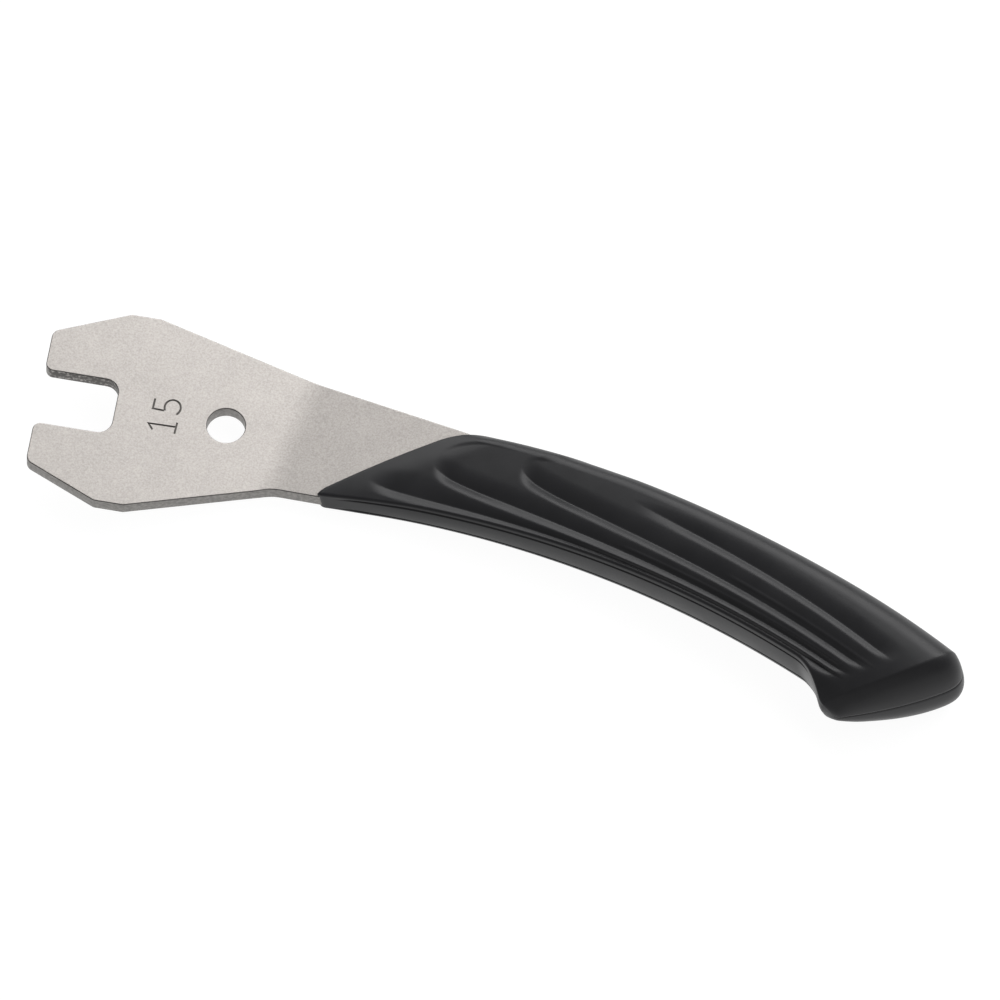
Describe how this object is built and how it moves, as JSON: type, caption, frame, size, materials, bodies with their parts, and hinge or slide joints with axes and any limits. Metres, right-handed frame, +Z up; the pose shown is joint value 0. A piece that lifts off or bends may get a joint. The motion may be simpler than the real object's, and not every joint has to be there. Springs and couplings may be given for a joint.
{
  "type": "pedal wrench",
  "caption": "Flat steel wrench with an open jaw and a hanging hole, bent at the neck, with a long curved, fluted black moulded grip that ends in a hooked finger stop.",
  "frame": {"origin": "middle of the underside of the tool's box as it lies at rest, on the surface it lies on", "axes": "+X along the neck from the jaw towards the butt, +Z up, +Y towards the grip's convex side"},
  "size_m": [0.254, 0.058, 0.0214],
  "materials": {
    "blasted_steel": "bead-blasted and plated, satin, with a fine speckled grain",
    "black_plastic": "moulded black, satin, slightly glossy on the crests"
  },
  "bodies": {
    "root": {"wrench_blade": "blasted_steel", "grip": "black_plastic"}
  },
  "joints": []
}
